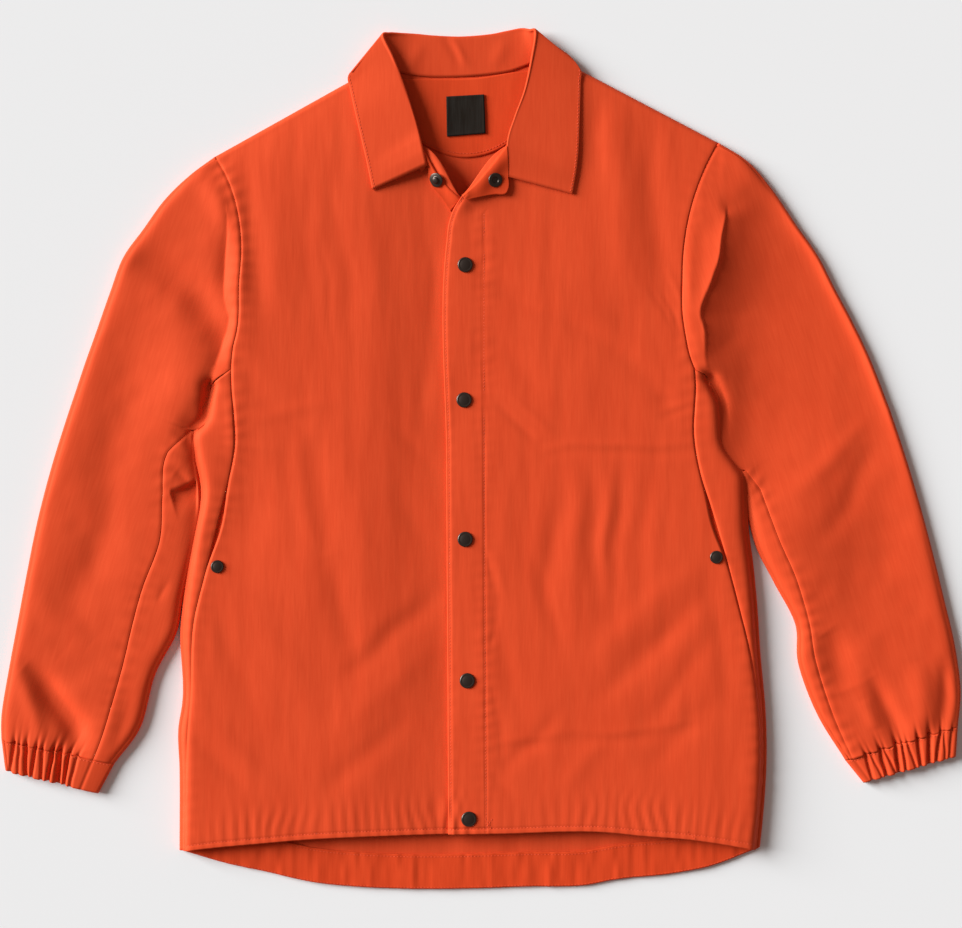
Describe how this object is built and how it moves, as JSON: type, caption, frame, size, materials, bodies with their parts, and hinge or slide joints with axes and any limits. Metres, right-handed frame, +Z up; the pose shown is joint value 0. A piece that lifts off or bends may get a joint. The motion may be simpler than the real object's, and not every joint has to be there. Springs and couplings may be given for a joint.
{
  "type": "shirt jacket",
  "caption": "Shirt jacket laid flat, front up: turn-down collar, snap placket, side panels with in-seam pockets, gathered elastic cuffs and a longer curved back hem",
  "frame": {"origin": "middle of the laid-out jacket's outline, on the ground it lies on", "axes": "+X to the wearer's left across the laid sleeves, +Y from hem to collar, +Z up from the ground, out of the front"},
  "size_m": [0.9132, 0.8199, 0.0248],
  "materials": {
    "shell_cloth": "crisp plain-woven orange cloth with fine vertical slubs and a slight sheen",
    "facing_cloth": "inner side of the same orange cloth, turned hems and facings",
    "label_tape": "blank black woven tape",
    "snap_metal": "dark gunmetal, satin"
  },
  "bodies": {
    "root": {"back": "shell_cloth", "back_hem_facing": "facing_cloth", "back_neck_facing": "facing_cloth", "collar": "shell_cloth", "cuff_left": "shell_cloth", "cuff_right": "shell_cloth", "front_left": "shell_cloth", "front_right": "shell_cloth", "front_snap_1": "snap_metal", "front_snap_2": "snap_metal", "front_snap_3": "snap_metal", "front_snap_4": "snap_metal", "front_snap_5": "snap_metal", "lapel_facing_left": "facing_cloth", "lapel_facing_right": "facing_cloth", "neck_label": "label_tape", "neck_snap_socket": "snap_metal", "neck_snap_stud": "snap_metal", "pocket_facing_left": "facing_cloth", "pocket_facing_right": "facing_cloth", "pocket_snap_left": "snap_metal", "pocket_snap_right": "snap_metal", "side_panel_left": "shell_cloth", "side_panel_right": "shell_cloth", "under_sleeve_left": "shell_cloth", "under_sleeve_right": "shell_cloth", "upper_sleeve_left": "shell_cloth", "upper_sleeve_right": "shell_cloth"}
  },
  "joints": []
}
